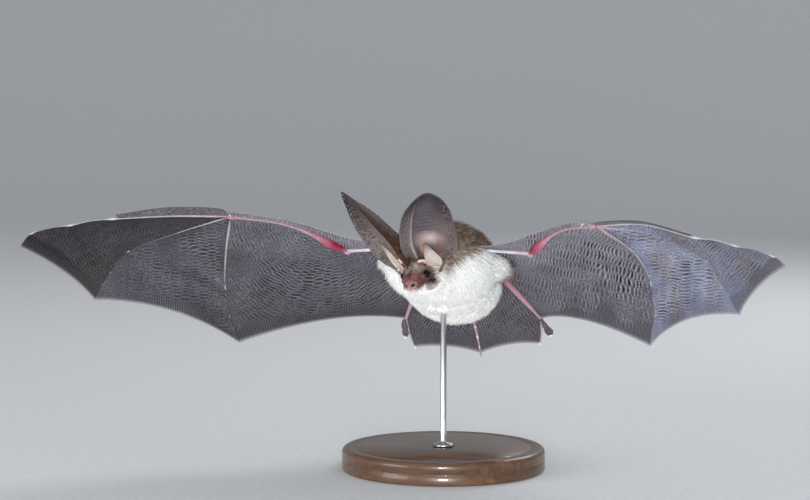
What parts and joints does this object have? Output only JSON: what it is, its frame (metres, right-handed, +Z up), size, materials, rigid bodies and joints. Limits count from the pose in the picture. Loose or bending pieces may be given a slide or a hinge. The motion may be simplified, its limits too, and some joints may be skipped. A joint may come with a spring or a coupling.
{
  "type": "wild desert long-eared bat, still model in flight",
  "caption": "Life-size still model of a wild desert long-eared bat in flight, wings and tail membrane spread, white belly, on a round wooden stand with a steel rod.",
  "frame": {"origin": "centre of the underside of the stand's base, on the surface that it stands on", "axes": "+X to the bat's left, -Y the way that the bat flies, +Z up"},
  "size_m": [0.3677, 0.1512, 0.1386],
  "materials": {
    "coat_white": "long soft white fur",
    "coat_tan": "soft grey-tan fur",
    "ear_skin": "thin ribbed skin, translucent",
    "tragus_skin": "thin cream skin",
    "arm_skin": "moist pink skin over muscle",
    "finger_skin": "pale skin over thin bones",
    "wing_skin": "thin wrinkled grey skin, slightly translucent",
    "foot_skin": "wrinkled grey-pink skin",
    "eye": "wet near-black",
    "base_wood": "dark stained and satin varnished",
    "rod_steel": "satin"
  },
  "bodies": {
    "root": {"trunk": "coat_white", "neck": "coat_tan", "head": "coat_tan", "tail": "arm_skin", "eye_left": "eye", "ear_left": "ear_skin", "tragus_left": "tragus_skin", "upper_arm_left": "arm_skin", "forearm_left": "arm_skin", "thumb_left": "finger_skin", "finger_2_left": "finger_skin", "finger_3_left": "finger_skin", "finger_4_left": "finger_skin", "finger_5_left": "finger_skin", "leg_left": "arm_skin", "foot_left": "foot_skin", "calcar_left": "finger_skin", "web_2_3_left": "wing_skin", "web_3_4_left": "wing_skin", "web_4_5_left": "wing_skin", "arm_web_left": "wing_skin", "front_web_left": "wing_skin", "tail_web_left": "wing_skin", "eye_right": "eye", "ear_right": "ear_skin", "tragus_right": "tragus_skin", "upper_arm_right": "arm_skin", "forearm_right": "arm_skin", "thumb_right": "finger_skin", "finger_2_right": "finger_skin", "finger_3_right": "finger_skin", "finger_4_right": "finger_skin", "finger_5_right": "finger_skin", "leg_right": "arm_skin", "foot_right": "foot_skin", "calcar_right": "finger_skin", "web_2_3_right": "wing_skin", "web_3_4_right": "wing_skin", "web_4_5_right": "wing_skin", "arm_web_right": "wing_skin", "front_web_right": "wing_skin", "tail_web_right": "wing_skin", "stand_base": "base_wood", "stand_rod": "rod_steel"}
  },
  "joints": []
}
